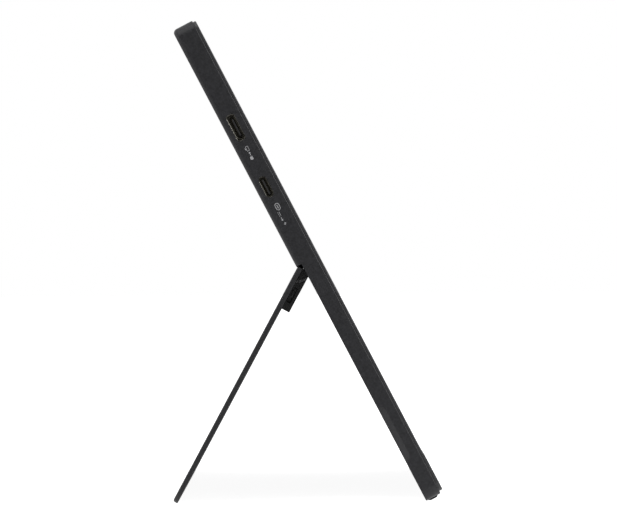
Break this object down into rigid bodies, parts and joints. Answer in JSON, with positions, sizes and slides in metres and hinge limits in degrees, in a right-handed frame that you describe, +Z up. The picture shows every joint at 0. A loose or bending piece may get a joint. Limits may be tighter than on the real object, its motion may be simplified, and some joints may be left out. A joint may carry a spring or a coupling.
{
  "type": "portable monitor",
  "caption": "Slim portable monitor on its own full-width stand flap, which folds flush into the lower half of the back.",
  "frame": {"origin": "on the table, under the middle of the overall size, stand open as pictured", "axes": "+Z up, +X along the width towards the side with the keys, screen facing -Y"},
  "size_m": [0.3578, 0.1134, 0.2033],
  "materials": {
    "cover_black": "fine moulded texture",
    "key_black": "smooth satin",
    "hinge_plastic": "satin, glass-filled",
    "cell_glass": "anti-glare polariser, switched off",
    "optical_sheet": "clear or white optical sheet",
    "tray_metal": "plain rolled sheet",
    "inner_plastic": "moulded",
    "light_strip": "white strip with small lamps",
    "board_green": "solder mask",
    "socket_steel": "nickel plated",
    "socket_plastic": "moulded",
    "switch_metal": "plain",
    "cable_flat": "flat flexible film",
    "wire_sheath": "thin sheath",
    "foot_rubber": "matt",
    "hinge_steel": "machined and oiled",
    "screw_black": "blackened",
    "insert_brass": "turned",
    "magnet_nickel": "nickel plated"
  },
  "bodies": {
    "display": {"rear_cover": "cover_black", "front_bezel": "cover_black", "front_chin": "cover_black", "cell_glass": "cell_glass", "diffuser_film": "optical_sheet", "light_guide": "optical_sheet", "reflector_film": "optical_sheet", "panel_tray": "tray_metal", "panel_mid_frame": "inner_plastic", "light_strip": "light_strip", "driver_board": "board_green", "chassis_plate": "tray_metal", "main_board": "board_green", "board_shield": "tray_metal", "video_socket_shell": "socket_steel", "video_socket_tongue": "socket_plastic", "oval_socket_shell": "socket_steel", "oval_socket_tongue": "socket_plastic", "audio_jack": "inner_plastic", "button_board": "board_green", "button_bracket": "inner_plastic", "side_switches": "switch_metal", "speaker_left": "inner_plastic", "speaker_right": "inner_plastic", "panel_cable": "cable_flat", "button_cable": "cable_flat", "speaker_wires": "wire_sheath", "foot_strips": "foot_rubber", "hinge_base_left": "hinge_steel", "hinge_base_right": "hinge_steel", "hinge_screws": "screw_black", "mount_inserts": "insert_brass", "cover_screws": "screw_black", "board_screws": "screw_black", "body_magnets": "magnet_nickel"},
    "stand": {"stand_plate": "cover_black", "hinge_housing_left": "hinge_plastic", "hinge_housing_right": "hinge_plastic", "hinge_tongue_left": "hinge_steel", "hinge_tongue_right": "hinge_steel", "tongue_screws": "screw_black", "stand_tip": "foot_rubber", "stand_magnets": "magnet_nickel"},
    "power_key": {"power_button": "key_black"},
    "menu_key": {"menu_rocker": "key_black"}
  },
  "joints": [
    {"name": "stand_hinge", "type": "hinge", "parent": "display", "child": "stand", "pos_m": [0, 0.00317, 0.0988], "axis": [1, 0, 0], "range_deg": [-55.82, 24]},
    {"name": "power_press", "type": "slide", "parent": "display", "child": "power_key", "axis": [-1, 0, 0], "range_m": [0, 0.00035], "stiffness_N_per_m": 1500},
    {"name": "menu_tilt", "type": "hinge", "parent": "display", "child": "menu_key", "pos_m": [0.1755, 0.02544, 0.15032], "axis": [0, -0.8894, 0.4571], "range_deg": [-2, 2], "stiffness_Nm_per_rad": 0.3}
  ]
}
